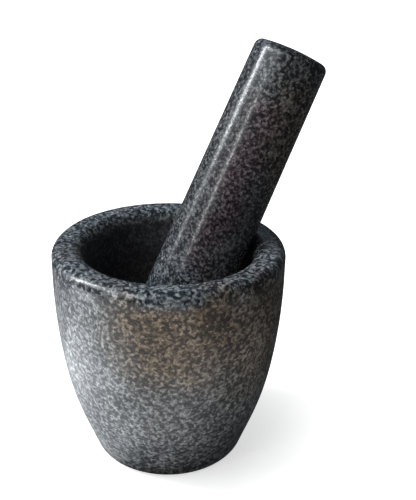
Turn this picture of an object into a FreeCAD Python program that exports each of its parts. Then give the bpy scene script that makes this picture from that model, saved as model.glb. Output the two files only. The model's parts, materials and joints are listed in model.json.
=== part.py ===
import FreeCAD, Part
import math
import os
import Sketcher

# A stone mortar and its pestle.  The origin is the centre of the mortar's foot, +Z is up,
# and the pestle leans towards +X, against the rim, with its round end on the bowl's floor.

SIZES = [
    ("RimDiameter", 131.4, "outside of the mortar at its rim"),
    ("MortarHeight", 130.0, "foot to rim"),
    ("RimWall", 18.0, "thickness of the wall at the rim"),
    ("RimOuterRound", 5.5, "radius on the rim's outer edge"),
    ("RimInnerRound", 8.0, "radius on the rim's inner edge"),
    ("ShoulderDrop", 17.0, "straight band below the rim"),
    ("UpperFlankRadius", 340.0, "outside curve from the shoulder down to the belly"),
    ("BellyTop", 60.0, "height at which the belly's curve begins"),
    ("BellyRadius", 200.0, "outside curve of the belly"),
    ("FootTaper", 20.0, "lean of the outside wall at the foot, in degrees"),
    ("FootRound", 6.5, "radius on the foot's edge"),
    ("FloorThickness", 30.0, "stone under the bowl's lowest point"),
    ("BowlDraw", 5.3, "how much smaller the floor's radius is than the throat's"),
    ("PestleLength", 218.0, "end to end"),
    ("PestleEndRadius", 24.4, "radius of the working end"),
    ("PestleTaper", 1.0, "half angle of the handle's taper, in degrees"),
    ("PestleTopRound", 4.6, "radius on the top's edge"),
    ("PestleDomeRadius", 120.0, "crown of the top"),
    ("SeatAngle", 25.0, "where the end touches the floor, in degrees from the lowest point"),
    ("SeatGap", 0.3, "clearance between the two stones where they meet"),
]

# Sizes that follow from the ones above.
THROAT_RADIUS = "(Sizes.RimDiameter / 2 - Sizes.RimWall)"
FLOOR_RADIUS = f"({THROAT_RADIUS} - Sizes.BowlDraw)"
ROUND_HEIGHT = "(Sizes.MortarHeight - Sizes.RimInnerRound)"

# The pestle's end is a ball that rolls in the floor's ball: their centres are this far apart.
SEAT_ARM = f"({FLOOR_RADIUS} - Sizes.PestleEndRadius - Sizes.SeatGap)"
SEAT_X = f"(0 - {SEAT_ARM} * sin(Sizes.SeatAngle))"
SEAT_Z = f"(Sizes.FloorThickness + {FLOOR_RADIUS} - {SEAT_ARM} * cos(Sizes.SeatAngle))"

# From the ball's centre to the centre of the rim's inner round.
REACH_X = f"({THROAT_RADIUS} + Sizes.RimInnerRound - {SEAT_X})"
REACH_Z = f"({ROUND_HEIGHT} - {SEAT_Z})"
REACH = f"sqrt({REACH_X} ^ 2 + {REACH_Z} ^ 2)"

# The handle's lower side leans so that it clears that round by the gap; the axis leans more, by the taper.
STAND_OFF = "(Sizes.PestleEndRadius + Sizes.RimInnerRound + Sizes.SeatGap)"
UNDERSIDE_LEAN = f"(atan2({REACH_X}; {REACH_Z}) - asin({STAND_OFF} / {REACH}))"
PESTLE_LEAN = f"({UNDERSIDE_LEAN} + Sizes.PestleTaper * 1 deg)"


def make_sheet(doc):
    sheet = doc.addObject("Spreadsheet::Sheet", "Sizes")
    sheet.Label = "Sizes"
    for row, (name, value, meaning) in enumerate(SIZES, start=1):
        sheet.set(f"A{row}", name)
        sheet.set(f"B{row}", str(value))
        sheet.set(f"C{row}", meaning)
        sheet.setAlias(f"B{row}", name)
    doc.recompute()
    return sheet


def new_body(doc, label):
    body = doc.addObject("PartDesign::Body", label)
    body.Label = label
    return body


def upright_sketch(body, name):
    sketch = body.newObject("Sketcher::SketchObject", name)
    planes = [plane for plane in body.Origin.OriginFeatures if plane.Role == "XZ_Plane"]
    sketch.AttachmentSupport = [(planes[0], "")]
    sketch.MapMode = "FlatFace"
    return sketch


def point(x, z):
    return FreeCAD.Vector(x, z, 0)


def add_line(sketch, start, end):
    return sketch.addGeometry(Part.LineSegment(point(*start), point(*end)), False)


def add_arc(sketch, centre, radius, start, end):
    # Anticlockwise, with the angles in radians from +X.
    circle = Part.Circle(point(*centre), FreeCAD.Vector(0, 0, 1), radius)
    return sketch.addGeometry(Part.ArcOfCircle(circle, start, end), False)


def bind(sketch, name, constraint, expression):
    index = sketch.addConstraint(constraint)
    sketch.renameConstraint(index, name)
    sketch.setExpression(f"Constraints.{name}", expression)


START, END, CENTRE = 1, 2, 3
ORIGIN, ORIGIN_POINT, UP_AXIS = -1, 1, -2
FULL_TURN = 360
LEAST_BOWL_SHARE = 0.1  # of the turned block's volume


def draw_outside(sketch, size):
    """The outside of the mortar, from the middle of its foot round to the middle of its top."""
    rim = size("RimDiameter") / 2
    top = size("MortarHeight")
    shoulder = top - size("ShoulderDrop")
    flank_radius = size("UpperFlankRadius")
    belly_radius = size("BellyRadius")
    foot_round = size("FootRound")
    rim_round = size("RimOuterRound")
    lean = math.radians(size("FootTaper"))

    flank_turn = math.asin((shoulder - size("BellyTop")) / flank_radius)
    flank_centre = (rim - flank_radius, shoulder)
    belly_start = (
        flank_centre[0] + flank_radius * math.cos(flank_turn),
        flank_centre[1] - flank_radius * math.sin(flank_turn),
    )
    belly_centre = (
        belly_start[0] - belly_radius * math.cos(flank_turn),
        belly_start[1] + belly_radius * math.sin(flank_turn),
    )
    cone_top = (
        belly_centre[0] + belly_radius * math.cos(lean),
        belly_centre[1] - belly_radius * math.sin(lean),
    )
    foot_centre_z = foot_round
    cone_foot_z = foot_centre_z - foot_round * math.sin(lean)
    cone_foot = (cone_top[0] - (cone_top[1] - cone_foot_z) * math.tan(lean), cone_foot_z)
    foot_centre = (cone_foot[0] - foot_round * math.cos(lean), foot_centre_z)

    base = add_line(sketch, (0, 0), (foot_centre[0], 0))
    foot = add_arc(sketch, foot_centre, foot_round, -math.pi / 2, -lean)
    cone = add_line(sketch, cone_foot, cone_top)
    belly = add_arc(sketch, belly_centre, belly_radius, -lean, -flank_turn)
    flank = add_arc(sketch, flank_centre, flank_radius, -flank_turn, 0)
    band = add_line(sketch, (rim, shoulder), (rim, top - rim_round))
    lip = add_arc(sketch, (rim - rim_round, top - rim_round), rim_round, 0, math.pi / 2)
    crown = add_line(sketch, (rim - rim_round, top), (0, top))
    axis = add_line(sketch, (0, top), (0, 0))

    chain = [base, foot, cone, belly, flank, band, lip, crown]
    for one, other in zip(chain, chain[1:]):
        sketch.addConstraint(Sketcher.Constraint("Tangent", one, END, other, START))
    sketch.addConstraint(Sketcher.Constraint("Coincident", crown, END, axis, START))
    sketch.addConstraint(Sketcher.Constraint("Coincident", axis, END, base, START))
    sketch.addConstraint(Sketcher.Constraint("Coincident", base, START, ORIGIN, ORIGIN_POINT))
    sketch.addConstraint(Sketcher.Constraint("Horizontal", base))
    sketch.addConstraint(Sketcher.Constraint("Vertical", band))
    sketch.addConstraint(Sketcher.Constraint("Horizontal", crown))
    sketch.addConstraint(Sketcher.Constraint("Vertical", axis))

    bind(sketch, "rim", Sketcher.Constraint("DistanceX", ORIGIN, ORIGIN_POINT, band, START, rim),
         "Sizes.RimDiameter / 2")
    bind(sketch, "height", Sketcher.Constraint("DistanceY", ORIGIN, ORIGIN_POINT, crown, END, top),
         "Sizes.MortarHeight")
    bind(sketch, "shoulder", Sketcher.Constraint("DistanceY", ORIGIN, ORIGIN_POINT, band, START, shoulder),
         "Sizes.MortarHeight - Sizes.ShoulderDrop")
    bind(sketch, "belly_top",
         Sketcher.Constraint("DistanceY", ORIGIN, ORIGIN_POINT, belly, END, size("BellyTop")),
         "Sizes.BellyTop")
    bind(sketch, "flank_radius", Sketcher.Constraint("Radius", flank, flank_radius),
         "Sizes.UpperFlankRadius")
    bind(sketch, "belly_radius", Sketcher.Constraint("Radius", belly, belly_radius), "Sizes.BellyRadius")
    bind(sketch, "foot_round", Sketcher.Constraint("Radius", foot, foot_round), "Sizes.FootRound")
    bind(sketch, "rim_round", Sketcher.Constraint("Radius", lip, rim_round), "Sizes.RimOuterRound")
    bind(sketch, "foot_lean", Sketcher.Constraint("Angle", cone, math.pi / 2 - lean),
         "90 deg - Sizes.FootTaper * 1 deg")


def draw_bowl(sketch, size):
    """Half of the bowl: a ball floor, a wall that leans in a little, and the rim's inner round."""
    top = size("MortarHeight")
    throat = size("RimDiameter") / 2 - size("RimWall")
    rim_round = size("RimInnerRound")
    floor_radius = throat - size("BowlDraw")
    floor_centre = (0, size("FloorThickness") + floor_radius)
    throat_top = top - rim_round

    # The wall is the arc that meets the throat upright and the floor's ball smoothly.
    rise = throat_top - floor_centre[1]
    wall_radius = (throat ** 2 + rise ** 2 - floor_radius ** 2) / (2 * (throat - floor_radius))
    wall_centre = (throat - wall_radius, throat_top)
    wall_turn = math.atan2(rise, floor_centre[0] - wall_centre[0])

    floor = add_arc(sketch, floor_centre, floor_radius, -math.pi / 2, -wall_turn)
    wall = add_arc(sketch, wall_centre, wall_radius, -wall_turn, 0)
    lip = add_arc(sketch, (throat + rim_round, throat_top), rim_round, math.pi / 2, math.pi)
    mouth = add_line(sketch, (throat + rim_round, top), (0, top))
    axis = add_line(sketch, (0, top), (0, size("FloorThickness")))

    sketch.addConstraint(Sketcher.Constraint("Tangent", floor, END, wall, START))
    sketch.addConstraint(Sketcher.Constraint("Tangent", wall, END, lip, END))
    sketch.addConstraint(Sketcher.Constraint("Tangent", lip, START, mouth, START))
    sketch.addConstraint(Sketcher.Constraint("Coincident", mouth, END, axis, START))
    sketch.addConstraint(Sketcher.Constraint("Coincident", axis, END, floor, START))
    sketch.addConstraint(Sketcher.Constraint("PointOnObject", floor, CENTRE, UP_AXIS))
    sketch.addConstraint(Sketcher.Constraint("PointOnObject", axis, START, UP_AXIS))
    sketch.addConstraint(Sketcher.Constraint("Vertical", axis))
    sketch.addConstraint(Sketcher.Constraint("Horizontal", mouth))
    sketch.addConstraint(Sketcher.Constraint("Horizontal", lip, END, lip, CENTRE))

    bind(sketch, "throat", Sketcher.Constraint("DistanceX", ORIGIN, ORIGIN_POINT, lip, END, throat),
         THROAT_RADIUS)
    bind(sketch, "height", Sketcher.Constraint("DistanceY", ORIGIN, ORIGIN_POINT, mouth, END, top),
         "Sizes.MortarHeight")
    bind(sketch, "rim_round", Sketcher.Constraint("Radius", lip, rim_round), "Sizes.RimInnerRound")
    bind(sketch, "floor_radius", Sketcher.Constraint("Radius", floor, floor_radius), FLOOR_RADIUS)
    bind(sketch, "floor_thickness",
         Sketcher.Constraint("DistanceY", ORIGIN, ORIGIN_POINT, axis, END, size("FloorThickness")),
         "Sizes.FloorThickness")


def draw_pestle(sketch, size):
    """Half of the pestle, with the centre of its ball end at the origin and the top up."""
    end_radius = size("PestleEndRadius")
    taper = math.radians(size("PestleTaper"))
    top = size("PestleLength") - end_radius
    dome_radius = size("PestleDomeRadius")
    edge_round = size("PestleTopRound")

    # The edge's round lies inside the dome and against the tapered side.
    dome_centre_z = top - dome_radius
    inset = dome_radius - edge_round
    side = (end_radius - edge_round) / math.cos(taper)
    # Its centre is where the side, moved in by the round, crosses the dome, moved in by the round.
    slope = math.tan(taper)
    a = 1 + slope ** 2
    b = -2 * (side * slope + dome_centre_z)
    c = side ** 2 + dome_centre_z ** 2 - inset ** 2
    edge_z = (-b + math.sqrt(b ** 2 - 4 * a * c)) / (2 * a)
    edge_centre = (side - edge_z * slope, edge_z)
    dome_turn = math.atan2(edge_centre[1] - dome_centre_z, edge_centre[0])

    side_start = (end_radius * math.cos(taper), end_radius * math.sin(taper))
    side_end = (
        edge_centre[0] + edge_round * math.cos(taper),
        edge_centre[1] + edge_round * math.sin(taper),
    )

    ball = add_arc(sketch, (0, 0), end_radius, -math.pi / 2, taper)
    handle = add_line(sketch, side_start, side_end)
    edge = add_arc(sketch, edge_centre, edge_round, taper, dome_turn)
    dome = add_arc(sketch, (0, dome_centre_z), dome_radius, dome_turn, math.pi / 2)
    axis = add_line(sketch, (0, top), (0, -end_radius))

    for one, other in [(ball, handle), (handle, edge), (edge, dome)]:
        sketch.addConstraint(Sketcher.Constraint("Tangent", one, END, other, START))
    sketch.addConstraint(Sketcher.Constraint("Coincident", dome, END, axis, START))
    sketch.addConstraint(Sketcher.Constraint("Coincident", axis, END, ball, START))
    sketch.addConstraint(Sketcher.Constraint("Coincident", ball, CENTRE, ORIGIN, ORIGIN_POINT))
    sketch.addConstraint(Sketcher.Constraint("PointOnObject", axis, START, UP_AXIS))
    sketch.addConstraint(Sketcher.Constraint("PointOnObject", axis, END, UP_AXIS))
    sketch.addConstraint(Sketcher.Constraint("PointOnObject", dome, CENTRE, UP_AXIS))

    bind(sketch, "end_radius", Sketcher.Constraint("Radius", ball, end_radius), "Sizes.PestleEndRadius")
    bind(sketch, "taper", Sketcher.Constraint("Angle", handle, math.pi / 2 + taper),
         "90 deg + Sizes.PestleTaper * 1 deg")
    bind(sketch, "edge_round", Sketcher.Constraint("Radius", edge, edge_round), "Sizes.PestleTopRound")
    bind(sketch, "dome_radius", Sketcher.Constraint("Radius", dome, dome_radius), "Sizes.PestleDomeRadius")
    bind(sketch, "top", Sketcher.Constraint("DistanceY", ORIGIN, ORIGIN_POINT, axis, START, top),
         "Sizes.PestleLength - Sizes.PestleEndRadius")


def full_turn(body, kind, name, sketch):
    feature = body.newObject(kind, name)
    feature.Profile = sketch
    feature.ReferenceAxis = (sketch, ["V_Axis"])
    feature.Angle = FULL_TURN
    return feature


def make_mortar(doc, size):
    body = new_body(doc, "mortar")
    outside = upright_sketch(body, "outside_profile")
    draw_outside(outside, size)
    block = full_turn(body, "PartDesign::Revolution", "turned_block", outside)
    doc.recompute()
    block_volume = block.Shape.Volume

    bowl_profile = upright_sketch(body, "bowl_profile")
    draw_bowl(bowl_profile, size)
    full_turn(body, "PartDesign::Groove", "bowl", bowl_profile)
    doc.recompute()
    if block_volume - body.Shape.Volume < LEAST_BOWL_SHARE * block_volume:
        raise SystemExit("the bowl was not cut out of the mortar")
    return body


def make_pestle(doc, size):
    body = new_body(doc, "pestle")
    profile = upright_sketch(body, "pestle_profile")
    draw_pestle(profile, size)
    full_turn(body, "PartDesign::Revolution", "turned_rod", profile)

    # It leans about the Y axis, so its own Z axis tips towards +X.
    lean = FreeCAD.Rotation(FreeCAD.Vector(0, 1, 0), size("PestleTaper"))
    body.Placement = FreeCAD.Placement(FreeCAD.Vector(), lean)
    body.setExpression("Placement.Base.x", SEAT_X)
    body.setExpression("Placement.Base.z", SEAT_Z)
    body.setExpression("Placement.Rotation.Angle", PESTLE_LEAN)
    return body


def check_document(doc, pieces):
    for item in doc.Objects:
        if "Invalid" in item.State or "Error" in item.State:
            raise SystemExit(f"{item.Name} failed: {item.State}")
    for piece in pieces:
        if piece.Shape.isNull() or not piece.Shape.isValid():
            raise SystemExit(f"{piece.Label} has no valid shape")
        if len(piece.Shape.Solids) != 1:
            raise SystemExit(f"{piece.Label} is not one solid")


def main():
    doc = FreeCAD.newDocument("molcajete")
    sheet = make_sheet(doc)

    def size(name):
        return float(sheet.get(name))

    pieces = [make_mortar(doc, size), make_pestle(doc, size)]
    doc.recompute()
    check_document(doc, pieces)

    mortar, pestle = pieces
    lean = math.degrees(pestle.Placement.Rotation.Angle)
    seat = pestle.Placement.Base
    print(f"pestle seat at {seat.x:.3f}, {seat.z:.3f}, lean {lean:.3f} deg")
    print(f"slide along {lean - size('PestleTaper'):.4f} deg from upright")
    print(f"gap between the stones {mortar.Shape.distToShape(pestle.Shape)[0]:.3f} mm")

    os.makedirs("parts", exist_ok=True)
    for piece in pieces:
        piece.Shape.exportStep(f"parts/{piece.Label}.step")
        print(f"{piece.Label}: {piece.Shape.Volume / 1000:.1f} cm3")


main()
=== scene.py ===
import json
import math

import bpy
import numpy as np
from mathutils import Matrix, Vector


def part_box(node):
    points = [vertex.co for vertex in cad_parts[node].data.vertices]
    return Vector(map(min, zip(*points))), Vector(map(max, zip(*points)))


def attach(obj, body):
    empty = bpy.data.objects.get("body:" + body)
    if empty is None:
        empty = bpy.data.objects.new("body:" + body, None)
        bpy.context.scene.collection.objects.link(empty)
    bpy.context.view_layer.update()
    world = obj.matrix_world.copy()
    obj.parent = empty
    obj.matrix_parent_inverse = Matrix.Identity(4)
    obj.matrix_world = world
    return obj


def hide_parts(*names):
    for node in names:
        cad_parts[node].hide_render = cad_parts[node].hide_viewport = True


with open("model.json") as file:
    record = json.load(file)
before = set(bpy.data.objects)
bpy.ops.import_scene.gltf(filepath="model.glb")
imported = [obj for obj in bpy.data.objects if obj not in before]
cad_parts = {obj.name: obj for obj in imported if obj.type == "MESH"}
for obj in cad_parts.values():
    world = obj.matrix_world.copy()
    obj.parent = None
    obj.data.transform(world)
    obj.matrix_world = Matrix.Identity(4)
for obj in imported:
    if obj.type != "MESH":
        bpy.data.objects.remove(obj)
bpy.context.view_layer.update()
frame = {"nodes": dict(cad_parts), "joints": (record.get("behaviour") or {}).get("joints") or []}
_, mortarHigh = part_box("mortar")
pestleLow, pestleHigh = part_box("pestle")
liftAxis = Vector(frame["joints"][0]["axis"])
print("frame loaded:", sorted(frame["nodes"]))


# A turned piece's outline is a list of (radius, height), from the axis round to the axis again.

def straightRun(start, end, step):
    count = max(1, round(math.dist(start, end) / step))
    return [(start[0] + (end[0] - start[0]) * i / count, start[1] + (end[1] - start[1]) * i / count)
            for i in range(count)]


def roundRun(centre, radius, startAngle, endAngle, step):
    count = max(4, round(abs(endAngle - startAngle) * radius / step))
    angles = [startAngle + (endAngle - startAngle) * i / count for i in range(count)]
    return [(centre[0] + radius * math.cos(a), centre[1] + radius * math.sin(a)) for a in angles]


mortarShape = {
    "rimWall": 0.0180,
    "rimOuterRound": 0.0055,
    "rimInnerRound": 0.0080,
    "shoulderDrop": 0.0170,
    "upperFlankRadius": 0.340,
    "bellyTop": 0.060,
    "bellyRadius": 0.200,
    "footTaper": math.radians(20),
    "footRound": 0.0065,
    "floorThickness": 0.030,
    "bowlDraw": 0.0053,
    "skinAllowance": 0.00012,  # keeps the skin just inside the solid
    "segments": 470,
    "coarseStep": 0.0022,
    "fineStep": 0.00075,
}


def mortarOutline(shape):
    skin = shape["skinAllowance"]
    rim = min(mortarHigh.x, mortarHigh.y) - skin
    top = mortarHigh.z - skin
    lean = shape["footTaper"]
    coarse, fine = shape["coarseStep"], shape["fineStep"]

    shoulder = top - shape["shoulderDrop"]
    flank = shape["upperFlankRadius"]
    flankTurn = math.asin((shoulder - shape["bellyTop"]) / flank)
    flankCentre = (rim - flank, shoulder)
    belly = shape["bellyRadius"]
    bellyCentre = (flankCentre[0] + (flank - belly) * math.cos(flankTurn),
                   flankCentre[1] - (flank - belly) * math.sin(flankTurn))
    coneTop = (bellyCentre[0] + belly * math.cos(lean), bellyCentre[1] - belly * math.sin(lean))
    foot = shape["footRound"]
    coneFootHeight = skin + foot - foot * math.sin(lean)
    coneFoot = (coneTop[0] - (coneTop[1] - coneFootHeight) * math.tan(lean), coneFootHeight)
    footCentre = (coneFoot[0] - foot * math.cos(lean), skin + foot)

    throat = rim - shape["rimWall"]
    inner, outer = shape["rimInnerRound"], shape["rimOuterRound"]
    throatTop = top - inner
    floor = throat - shape["bowlDraw"]
    floorCentre = shape["floorThickness"] + floor
    rise = throatTop - floorCentre
    wall = (throat ** 2 + rise ** 2 - floor ** 2) / (2 * (throat - floor))
    wallTurn = math.atan2(rise, wall - throat)

    quarter = math.pi / 2
    return (
        straightRun((0, skin), (footCentre[0], skin), coarse)
        + roundRun(footCentre, foot, -quarter, -lean, fine)
        + straightRun(coneFoot, coneTop, coarse)
        + roundRun(bellyCentre, belly, -lean, -flankTurn, coarse)
        + roundRun(flankCentre, flank, -flankTurn, 0, coarse)
        + straightRun((rim, shoulder), (rim, top - outer), coarse)
        + roundRun((rim - outer, top - outer), outer, 0, quarter, fine / 2)
        + straightRun((rim - outer, top), (throat + inner, top), fine)
        + roundRun((throat + inner, throatTop), inner, quarter, 2 * quarter, fine)
        + roundRun((throat - wall, throatTop), wall, 0, -wallTurn, coarse)
        + roundRun((0, floorCentre), floor, -wallTurn, -quarter, coarse)
        + [(0, shape["floorThickness"])]
    )


pestleShape = {
    "length": 0.218,
    "taper": math.radians(1.0),
    "topRound": 0.0046,
    "domeRadius": 0.120,
    "skinAllowance": 0.00012,
    "segments": 300,
    "coarseStep": 0.0012,
    "fineStep": 0.0006,
}
pestleEndRadius = (pestleHigh.y - pestleLow.y) / 2
pestleSeat = Vector((pestleLow.x + pestleEndRadius, 0, pestleLow.z + pestleEndRadius))
pestleLean = math.atan2(liftAxis.x, liftAxis.z) + pestleShape["taper"]


def pestleOutline(shape):
    skin = shape["skinAllowance"]
    end = pestleEndRadius - skin
    top = shape["length"] - pestleEndRadius - skin
    taper = shape["taper"]
    coarse, fine = shape["coarseStep"], shape["fineStep"]
    edge, dome = shape["topRound"], shape["domeRadius"]
    domeCentre = top - dome

    # The edge's round touches the tapered side and the dome from inside both.
    side = (end - edge) / math.cos(taper)
    slope = math.tan(taper)
    a = 1 + slope ** 2
    b = -2 * (side * slope + domeCentre)
    c = side ** 2 + domeCentre ** 2 - (dome - edge) ** 2
    edgeHeight = (-b + math.sqrt(b ** 2 - 4 * a * c)) / (2 * a)
    edgeCentre = (side - edgeHeight * slope, edgeHeight)
    domeTurn = math.atan2(edgeCentre[1] - domeCentre, edgeCentre[0])

    quarter = math.pi / 2
    sideStart = (end * math.cos(taper), end * math.sin(taper))
    sideEnd = (edgeCentre[0] + edge * math.cos(taper), edgeCentre[1] + edge * math.sin(taper))
    return (
        roundRun((0, 0), end, -quarter, taper, coarse)
        + straightRun(sideStart, sideEnd, coarse)
        + roundRun(edgeCentre, edge, taper, domeTurn, fine)
        + roundRun((0, domeCentre), dome, domeTurn, quarter, coarse)
        + [(0, top)]
    )


def turnedMesh(name, outline, segments):
    # One closed skin: a point at each end of the outline and a ring for every point between.
    rings = outline[1:-1]
    radii = np.array([p[0] for p in rings])
    heights = np.array([p[1] for p in rings])
    angles = np.arange(segments) * 2 * math.pi / segments
    x = radii[:, None] * np.cos(angles)
    y = radii[:, None] * np.sin(angles)
    z = np.repeat(heights[:, None], segments, axis=1)
    points = np.stack([x, y, z], axis=2).reshape(-1, 3)
    points = np.vstack([points, [0, 0, outline[0][1]], [0, 0, outline[-1][1]]])
    first, last = len(points) - 2, len(points) - 1

    faces = []
    for ring in range(len(rings) - 1):
        low, high = ring * segments, (ring + 1) * segments
        for i in range(segments):
            j = (i + 1) % segments
            faces.append((low + i, low + j, high + j, high + i))
    for i in range(segments):
        j = (i + 1) % segments
        faces.append((first, j, i))
        faces.append((last, (len(rings) - 1) * segments + i, (len(rings) - 1) * segments + j))

    mesh = bpy.data.meshes.new(name)
    mesh.from_pydata(points.tolist(), [], faces)
    mesh.shade_smooth()
    piece = bpy.data.objects.new(name, mesh)
    bpy.context.scene.collection.objects.link(piece)
    return piece


mortarSkin = turnedMesh("granite_mortar", mortarOutline(mortarShape), mortarShape["segments"])
pestleSkin = turnedMesh("granite_pestle", pestleOutline(pestleShape), pestleShape["segments"])
tilt = Matrix.Translation(pestleSeat) @ Matrix.Rotation(pestleLean, 4, "Y")
pestleSkin.data.transform(tilt)
print("turned:", len(mortarSkin.data.polygons), len(pestleSkin.data.polygons))

for piece, node in ((mortarSkin, "mortar"), (pestleSkin, "pestle")):
    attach(piece, node)
    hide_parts(node)


class Wire:
    # One shader socket. Arithmetic on it adds a Math node.
    def __init__(self, finish, socket):
        self.finish = finish
        self.socket = socket


def mathsOn(operation, reflected=False):
    def apply(wire, other):
        first, second = (other, wire) if reflected else (wire, other)
        return wire.finish.node("ShaderNodeMath", {"operation": operation}, {0: first, 1: second})["Value"]
    return apply


Wire.__add__ = mathsOn("ADD")
Wire.__radd__ = mathsOn("ADD", True)
Wire.__sub__ = mathsOn("SUBTRACT")
Wire.__rsub__ = mathsOn("SUBTRACT", True)
Wire.__mul__ = mathsOn("MULTIPLY")
Wire.__rmul__ = mathsOn("MULTIPLY", True)


class Finish:
    # One material and the only way its nodes are made.
    def __init__(self, name):
        self.material = bpy.data.materials.new(name)
        self.material.use_nodes = True
        self.tree = self.material.node_tree
        self.tree.nodes.clear()

    def node(self, kind, settings=None, sockets=None):
        made = self.tree.nodes.new(kind)
        for key, value in (settings or {}).items():
            if key == "stops":
                ramp = made.color_ramp.elements
                while len(ramp) < len(value):
                    ramp.new(1.0)
                for element, (position, colour) in zip(ramp, value):
                    element.position = position
                    element.color = (*colour, 1.0)
            else:
                setattr(made, key, value)
        for key, value in (sockets or {}).items():
            socket = made.inputs[key] if isinstance(key, int) else next(
                s for s in made.inputs if s.enabled and s.name == key)
            if isinstance(value, Wire):
                self.tree.links.new(value.socket, socket)
            else:
                socket.default_value = value
        return {s.name: Wire(self, s) for s in made.outputs if s.enabled}

    def noise(self, where, scale, detail=2.0, roughness=0.5, seed=0.0):
        return self.node("ShaderNodeTexNoise", {"noise_dimensions": "4D"}, {
            "Vector": where, "W": seed, "Scale": scale, "Detail": detail, "Roughness": roughness})

    def step(self, value, low, high):
        # 0 at low, 1 at high, smooth between.
        return self.node("ShaderNodeMapRange", {"interpolation_type": "SMOOTHSTEP"}, {
            "Value": value, "From Min": low, "From Max": high})["Result"]

    def ridge(self, value, level, width):
        # 1 where the value crosses the level, 0 once it is a width away.
        away = self.node("ShaderNodeMath", {"operation": "ABSOLUTE"}, {0: value - level})["Value"]
        return self.step(away, width, 0.0)

    def mix(self, factor, under, over):
        return self.node("ShaderNodeMix", {"data_type": "RGBA"}, {
            "Factor": factor, "A": under, "B": over})["Result"]

    def ramp(self, value, stops):
        return self.node("ShaderNodeValToRGB", {"stops": stops}, {"Fac": value})["Color"]

    def bent(self, where, scale, amount, seed=0.0):
        # The same place, pushed about by a soft noise.
        push = self.noise(where, scale, 1.0, seed=seed)["Color"]
        return self.node("ShaderNodeVectorMath", {"operation": "MULTIPLY_ADD"}, {
            0: push, 1: (amount,) * 3, 2: where})["Vector"]

    def near(self, where, centre, reach, soft=0.0):
        # 1 round a place, falling to 0 at a distance that may differ along x, y and z.
        away = self.node("ShaderNodeVectorMath", {"operation": "SUBTRACT"}, {0: where, 1: centre})["Vector"]
        share = self.node("ShaderNodeVectorMath", {"operation": "DIVIDE"}, {0: away, 1: reach})["Vector"]
        length = self.node("ShaderNodeVectorMath", {"operation": "LENGTH"}, {0: share})["Value"]
        return self.step(length, 1.0, soft)


graniteGrain = {
    "bendScale": 340.0,
    "bendAmount": 0.0013,
    "lathScale": 350.0,
    "lathWidth": 0.080,
    "lathLevel": 0.50,
    "faintScale": 1.27,  # the fainter laths, as shares of the pale ones
    "faintWidth": 0.8,
    "faintLevel": 0.52,
    "pepperScale": 530.0,
    "dustScale": 950.0,
    "fieldScale": 230.0,
    "cloudScale": 55.0,
    "paleWhere": (0.42, 0.54),  # pepper from none to full
    "faintWhere": (0.60, 0.42),  # field from none to full
    "blotRange": (0.32, 0.66),
    "pale": 0.30,  # how far each of these moves the tone
    "faint": 0.18,
    "pepper": 0.54,
    "field": 0.60,
    "dust": 0.46,
    "cloud": 0.42,
}
mineralTones = {
    "blue": [(0.0, (0.010, 0.011, 0.014)), (0.30, (0.048, 0.051, 0.056)), (0.60, (0.150, 0.157, 0.163)),
             (1.0, (0.420, 0.430, 0.435))],
    "brown": [(0.0, (0.012, 0.008, 0.006)), (0.30, (0.062, 0.040, 0.025)), (0.60, (0.195, 0.140, 0.090)),
              (1.0, (0.480, 0.390, 0.290))],
    "purple": [(0.0, (0.012, 0.007, 0.009)), (0.30, (0.066, 0.040, 0.049)), (0.60, (0.165, 0.112, 0.128)),
               (1.0, (0.360, 0.285, 0.300))],
    "slate": [(0.0, (0.005, 0.007, 0.011)), (0.30, (0.036, 0.046, 0.058)), (0.60, (0.150, 0.172, 0.190)),
              (1.0, (0.480, 0.500, 0.510))],
}


def graniteTone(finish, place, grain, stone):
    # Black pepper on grey, with short curled pale laths scattered through it.
    fineness = stone["fineness"]
    wavy = finish.bent(place, grain["bendScale"] * fineness, grain["bendAmount"] / fineness)
    laths = finish.noise(wavy, grain["lathScale"] * fineness, 1.0, 0.5)["Fac"]
    faintScale = grain["lathScale"] * fineness * grain["faintScale"]
    others = finish.noise(wavy, faintScale, 1.0, 0.5, seed=4.3)["Fac"]
    field = finish.noise(place, grain["fieldScale"] * fineness, 3.0, 0.6, seed=9.1)["Fac"]
    pepper = finish.noise(wavy, grain["pepperScale"] * fineness, 1.0, 0.5, seed=2.2)["Fac"]
    dust = finish.noise(place, grain["dustScale"] * fineness, 1.0, 0.5, seed=7.7)["Fac"]
    cloud = finish.noise(place, grain["cloudScale"], 2.0, 0.5, seed=6.5)["Fac"]
    pale = finish.ridge(laths, grain["lathLevel"], grain["lathWidth"])
    pale = pale * finish.step(pepper, *grain["paleWhere"])
    thin = grain["lathWidth"] * grain["faintWidth"]
    faint = finish.ridge(others, grain["faintLevel"], thin)
    faint = faint * finish.step(field, *grain["faintWhere"])
    blots = finish.step(pepper, *grain["blotRange"]) - 0.5
    swing = (pale * grain["pale"] + faint * grain["faint"] + blots * grain["pepper"]
             + (field - 0.5) * grain["field"] + (dust - 0.5) * grain["dust"]
             + (cloud - 0.5) * grain["cloud"])
    return stone["depth"] + swing * stone["contrast"]


patchEdge = {"scale": 42.0, "bend": 0.020}  # how far the colour patches' edges wander
grainSurface = {"gloss": -0.14, "bumpStrength": 0.10, "bumpDistance": 0.0002}


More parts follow.
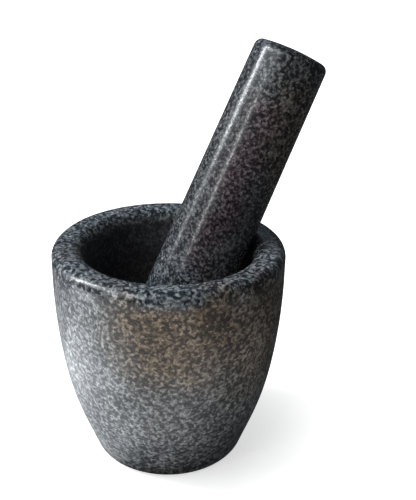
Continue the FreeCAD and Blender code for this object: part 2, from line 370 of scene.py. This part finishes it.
def graniteFinish(name, stone, zones, polish, hollowToneAndShade=None):
    finish = Finish(name)
    place = finish.node("ShaderNodeTexCoord")["Object"]
    tone = graniteTone(finish, place, graniteGrain, stone)
    colour = finish.ramp(tone, mineralTones["blue"])
    drift = finish.bent(place, patchEdge["scale"], patchEdge["bend"], seed=1.5)
    meanShift = Vector((patchEdge["bend"] / 2,) * 3)
    for zone in zones:
        middle = Vector(zone["centre"]) + meanShift
        mask = finish.near(drift, middle, zone["reach"], zone["soft"]) * zone["strength"]
        colour = finish.mix(mask, colour, finish.ramp(tone, mineralTones[zone["tones"]]))
    # Darkens the bowl's inside: painted shade in the hollow, partly the stone's own darker tone.
    if hollowToneAndShade:
        colour = finish.mix(insideBowl(finish, place) * hollowToneAndShade["share"], colour, (*hollowToneAndShade["colour"], 1.0))
    rough = polish(finish, place) + (tone - 0.5) * grainSurface["gloss"]
    bump = finish.node("ShaderNodeBump", {}, {
        "Strength": grainSurface["bumpStrength"], "Distance": grainSurface["bumpDistance"],
        "Height": tone})["Normal"]
    shader = finish.node("ShaderNodeBsdfPrincipled", {}, {
        "Base Color": colour, "Roughness": rough, "Normal": bump})["BSDF"]
    finish.node("ShaderNodeOutputMaterial", {}, {"Surface": shader})
    return finish.material


mortarPolish = {
    "flank": 0.40,
    "rim": 0.20,
    "bowl": 0.62,
    "rimStart": 0.016,  # below the top, where the rim's polish begins and is full
    "rimFull": 0.006,
}
# Dark paint over the bowl's inside: painted shade in the hollow, partly the unpolished stone's own darker
# tone.
bowlToneAndShade = {
    "share": 0.78,
    "colour": (0.032, 0.031, 0.036),
    "top": 0.001,  # below the top, where the darkening begins and is full
    "depth": 0.010,
    "outside": 0.002,  # either side of the throat
    "inside": 0.001,
    "floorStart": 0.004,  # inside the stone under the floor
    "floorFull": 0.001,
}


def insideBowl(finish, place):
    # 1 on the bowl's wall and floor, fading out over the rim's inner round.
    apart = finish.node("ShaderNodeSeparateXYZ", {}, {"Vector": place})
    flat = finish.node("ShaderNodeCombineXYZ", {}, {"X": apart["X"], "Y": apart["Y"]})["Vector"]
    radius = finish.node("ShaderNodeVectorMath", {"operation": "LENGTH"}, {0: flat})["Value"]
    throat = mortarHigh.y - mortarShape["rimWall"]
    floor = mortarShape["floorThickness"]
    inward = finish.step(radius, throat + bowlToneAndShade["outside"], throat - bowlToneAndShade["inside"])
    below = finish.step(apart["Z"], mortarHigh.z - bowlToneAndShade["top"], mortarHigh.z - bowlToneAndShade["depth"])
    above = finish.step(apart["Z"], floor - bowlToneAndShade["floorStart"], floor - bowlToneAndShade["floorFull"])
    return inward * below * above


def mortarRoughness(finish, place):
    # Rim polished most, flank satin, the bowl left as it was ground.
    height = finish.node("ShaderNodeSeparateXYZ", {}, {"Vector": place})["Z"]
    start, full = mortarHigh.z - mortarPolish["rimStart"], mortarHigh.z - mortarPolish["rimFull"]
    high = finish.step(height, start, full)
    smooth = mortarPolish["flank"] + high * (mortarPolish["rim"] - mortarPolish["flank"])
    return smooth + insideBowl(finish, place) * (mortarPolish["bowl"] - mortarPolish["rim"])


pestlePolish = {
    "handle": 0.19,
    "smudgeScale": 90.0,
    "smudge": 0.08,
    "ground": 0.30,
    "groundReach": 0.034,  # from the middle of the round end
    "groundSoft": 0.6,
}


def pestleRoughness(finish, place):
    # Polished by the hand that holds it, dull at the end that grinds.
    ground = finish.near(
        place, tuple(pestleSeat), (pestlePolish["groundReach"],) * 3, pestlePolish["groundSoft"])
    smudge = finish.noise(place, pestlePolish["smudgeScale"], 2.0, seed=3.0)["Fac"] - 0.5
    return pestlePolish["handle"] + smudge * pestlePolish["smudge"] + ground * pestlePolish["ground"]


viewpoint = {
    "azimuth": math.radians(-18.6),
    "away": 0.4103,
    "height": 0.3106,
    "panRight": math.radians(3.05),
    "tiltDown": math.radians(24.32),
    "roll": math.radians(1.27),
    "lens": 57.35,
}


def fromCamera(azimuth, elevation, distance):
    # A place at this bearing from the mortar's axis: 0 is towards the camera, + is to its right.
    turn = viewpoint["azimuth"] + azimuth
    return Vector((math.sin(turn) * math.cos(elevation), -math.cos(turn) * math.cos(elevation),
                   math.sin(elevation))) * distance


def onMortar(azimuth, height, radius=0.062):
    spot = fromCamera(math.radians(azimuth), 0, radius)
    return (spot.x, spot.y, height)


def onPestle(azimuth, along, radius=0.021):
    # A spot on the pestle's skin, this far up from its round end.
    axis = Vector((math.sin(pestleLean), 0, math.cos(pestleLean)))
    spot = fromCamera(math.radians(azimuth), 0, radius)
    spot -= axis * spot.dot(axis)
    return tuple(pestleSeat + axis * along + spot)


mortarStone = {"fineness": 0.98, "depth": 0.340, "contrast": 0.90}
mortarPatchesAndReflections = [
    # Brown over the front and front-right of the flank: partly the stone's own brown, partly a painted warm
    # reflection of the room in front.
    {"tones": "brown", "centre": onMortar(3, 0.109), "reach": (0.047, 0.047, 0.047),
     "soft": 0.4, "strength": 1.0},
    {"tones": "brown", "centre": onMortar(50, 0.094), "reach": (0.050, 0.050, 0.056),
     "soft": 0.2, "strength": 0.7},
    # Blue-grey band round the top of the mortar: partly the stone's own blue-black, partly a painted
    # reflection of the sky above the rim.
    {"tones": "slate", "centre": (0, 0, 0.148), "reach": (0.300, 0.300, 0.0260),
     "soft": 0.74, "strength": 1.0},
]
pestleStone = {"fineness": 1.14, "depth": 0.252, "contrast": 0.84}
pestleZones = [
    {"tones": "purple", "centre": onPestle(-10, along), "reach": (0.014, 0.014, 0.022),
     "soft": 0.3, "strength": 0.6}
    for along in (0.066, 0.088, 0.110, 0.130, 0.150)
] + [
    {"tones": "slate", "centre": onPestle(-30, 0.195), "reach": (0.026, 0.026, 0.050),
     "soft": 0.3, "strength": 0.7},
    {"tones": "brown", "centre": onPestle(50, 0.150), "reach": (0.026, 0.026, 0.060),
     "soft": 0.3, "strength": 0.45},
    {"tones": "slate", "centre": onPestle(-20, 0.030), "reach": (0.050, 0.050, 0.060),
     "soft": 0.3, "strength": 0.8},
]
mortarSkin.data.materials.append(
    graniteFinish("granite_satin", mortarStone, mortarPatchesAndReflections, mortarRoughness, bowlToneAndShade))
pestleSkin.data.materials.append(
    graniteFinish("granite_polished", pestleStone, pestleZones, pestleRoughness))
print("stone finishes made")


def makeCamera(rig):
    forward = Vector((math.sin(rig["panRight"]) * math.cos(rig["tiltDown"]),
                      math.cos(rig["panRight"]) * math.cos(rig["tiltDown"]), -math.sin(rig["tiltDown"])))
    level = Vector((math.cos(rig["panRight"]), -math.sin(rig["panRight"]), 0))
    upright = level.cross(forward)
    right = level * math.cos(rig["roll"]) + upright * math.sin(rig["roll"])
    up = upright * math.cos(rig["roll"]) - level * math.sin(rig["roll"])
    camera = bpy.data.objects.new("camera", bpy.data.cameras.new("camera"))
    camera.data.lens = rig["lens"]
    bpy.context.scene.collection.objects.link(camera)
    pose = Matrix((right, up, -forward)).transposed().to_4x4()
    pose.translation = Vector((0, -rig["away"], rig["height"]))
    camera.matrix_world = Matrix.Rotation(rig["azimuth"], 4, "Z") @ pose
    bpy.context.scene.camera = camera


makeCamera(viewpoint)
print("camera set")


studioLights = {
    "window_left": {"bearing": -99.5, "rise": 35, "away": 2.0, "width": 0.30, "height": 1.20,
                    "glow": 26.0, "tint": (0.95, 0.98, 1.0)},
    "window_sill": {"bearing": -100, "rise": 10, "away": 2.0, "width": 0.30, "height": 0.55,
                    "glow": 4.0, "tint": (0.95, 0.98, 1.0)},
    "window_front": {"bearing": -52, "rise": 18, "away": 2.0, "width": 0.08, "height": 0.60,
                     "glow": 26.0, "tint": (0.95, 0.98, 1.0)},
    "ceiling_left": {"bearing": -56, "rise": 46, "away": 1.6, "width": 1.4, "height": 0.8,
                     "glow": 2.3, "tint": (1.0, 0.98, 0.96)},
    "sky_left": {"bearing": -85, "rise": 50, "away": 1.6, "width": 1.2, "height": 0.8,
                 "glow": 2.0, "tint": (0.92, 0.96, 1.0)},
    "wall_left": {"bearing": -74, "rise": 36, "away": 1.9, "width": 1.2, "height": 0.5,
                  "glow": 1.3, "tint": (0.93, 0.97, 1.0)},
    "wall_behind": {"bearing": 172, "rise": 34, "away": 1.8, "width": 1.0, "height": 0.7,
                    "glow": 0.25, "tint": (0.70, 0.85, 1.0)},
}
# Shows in no polished edge: it only keeps the far side from going black.
fillLights = {
    "fill_behind": {"bearing": 172, "rise": 10, "away": 2.0, "width": 1.3, "height": 0.6,
                    "glow": 2.0, "tint": (0.97, 0.98, 1.0)},
}
cardHeight = 0.002
tableLights = {
    "table_left": {"bearing": -78, "away": 0.265, "across": 0.17, "along": 0.33, "glow": 3.3,
                   "tint": (0.92, 0.97, 1.0)},
    "table_left_near": {"bearing": -74, "away": 0.076, "across": 0.12, "along": 0.075, "glow": 1.0,
                        "tint": (0.92, 0.97, 1.0)},
    "table_left_far": {"bearing": -122, "away": 0.165, "across": 0.12, "along": 0.20, "glow": 0.9,
                       "tint": (0.90, 0.95, 1.0)},
    "table_front": {"bearing": -20, "away": 0.205, "across": 0.34, "along": 0.28, "glow": 1.35,
                    "tint": (0.97, 0.99, 1.0)},
    "table_right": {"bearing": 48, "away": 0.22, "across": 0.26, "along": 0.24, "glow": 0.25,
                    "tint": (1.0, 0.99, 0.97)},
}


def areaLight(name, width, height, glow, tint):
    light = bpy.data.lights.new(name, "AREA")
    light.shape = "RECTANGLE"
    light.size, light.size_y = width, height
    light.energy = glow * math.pi * width * height
    light.color = tint
    box = bpy.data.objects.new(name, light)
    bpy.context.scene.collection.objects.link(box)
    box.visible_camera = False
    return box


aim = Vector((0, 0, mortarHigh.z))
for name, made in {**studioLights, **fillLights}.items():
    box = areaLight(name, made["width"], made["height"], made["glow"], made["tint"])
    box.location = aim + fromCamera(math.radians(made["bearing"]), math.radians(made["rise"]), made["away"])
    box.rotation_euler = (box.location - aim).to_track_quat("Z", "Y").to_euler()
    box.visible_glossy = name in studioLights

for name, made in tableLights.items():
    card = areaLight(name, made["across"], made["along"], made["glow"], made["tint"])
    card.location = fromCamera(math.radians(made["bearing"]), 0, made["away"]) + Vector((0, 0, cardHeight))
    card.rotation_euler = (math.pi, 0, viewpoint["azimuth"] + math.radians(made["bearing"]))

print("lights set:", len(studioLights) + len(fillLights) + len(tableLights))

sweep = {
    "middle": 0.02,
    "flat": 1.6,
    "bend": 1.4,
    "bendSteps": 12,
    "wall": 2.5,
    "segments": 96,
    "albedo": 0.80,
    "roughness": 0.9,
    "shadowedGlow": 0.64,  # the paper's own light, dimmed under and round the mortar: a painted contact shadow
    "farGlow": 1.0,
    "shadowFrom": 0.040,
    "shadowTo": 0.119,
}


def sweepMesh(shape):
    # A round floor that curves up into a wall, seen only by the camera.
    outline = [(shape["middle"], 0), (shape["flat"], 0)]
    angles = [math.pi / 2 * i / shape["bendSteps"] for i in range(1, shape["bendSteps"] + 1)]
    outline += [(shape["flat"] + shape["bend"] * math.sin(a), shape["bend"] * (1 - math.cos(a)))
                for a in angles]
    outline += [(shape["flat"] + shape["bend"], shape["bend"] + shape["wall"])]
    count = shape["segments"]
    points = [(r * math.cos(2 * math.pi * i / count), r * math.sin(2 * math.pi * i / count), z)
              for r, z in outline for i in range(count)]
    faces = [tuple(range(count))]
    for ring in range(len(outline) - 1):
        low, high = ring * count, (ring + 1) * count
        faces += [(low + i, low + (i + 1) % count, high + (i + 1) % count, high + i) for i in range(count)]
    mesh = bpy.data.meshes.new("paper_sweep")
    mesh.from_pydata(points, [], faces)
    mesh.shade_smooth()
    return mesh


floor = bpy.data.objects.new("paper_sweep", sweepMesh(sweep))
bpy.context.scene.collection.objects.link(floor)
floor.visible_glossy = False
floor.visible_diffuse = False
floor.visible_shadow = False
paper = Finish("white_paper")
floor.data.materials.append(paper.material)
spot = paper.node("ShaderNodeTexCoord")["Object"]
distance = paper.node("ShaderNodeVectorMath", {"operation": "LENGTH"}, {0: spot})["Value"]
# Dimmer glow near the mortar's foot, rising to full further out: a painted shadow on the paper.
outOfShadow = paper.step(distance, sweep["shadowFrom"], sweep["shadowTo"])
paperGlowAndShadow = paper.mix(outOfShadow, (sweep["shadowedGlow"],) * 3 + (1,), (sweep["farGlow"],) * 3 + (1,))
paperShader = paper.node("ShaderNodeBsdfPrincipled", {}, {
    "Base Color": (sweep["albedo"],) * 3 + (1,), "Roughness": sweep["roughness"], "Specular IOR Level": 0.0,
    "Emission Color": paperGlowAndShadow, "Emission Strength": 1.0})["BSDF"]
paper.node("ShaderNodeOutputMaterial", {}, {"Surface": paperShader})
print("floor laid")

room = {"tint": (0.9, 0.95, 1, 1), "strength": 0.05}
world = bpy.data.worlds.new("studio")
bpy.context.scene.world = world
world.use_nodes = True
world.node_tree.nodes["Background"].inputs["Color"].default_value = room["tint"]
world.node_tree.nodes["Background"].inputs["Strength"].default_value = room["strength"]
bpy.context.scene.view_settings.view_transform = "Standard"
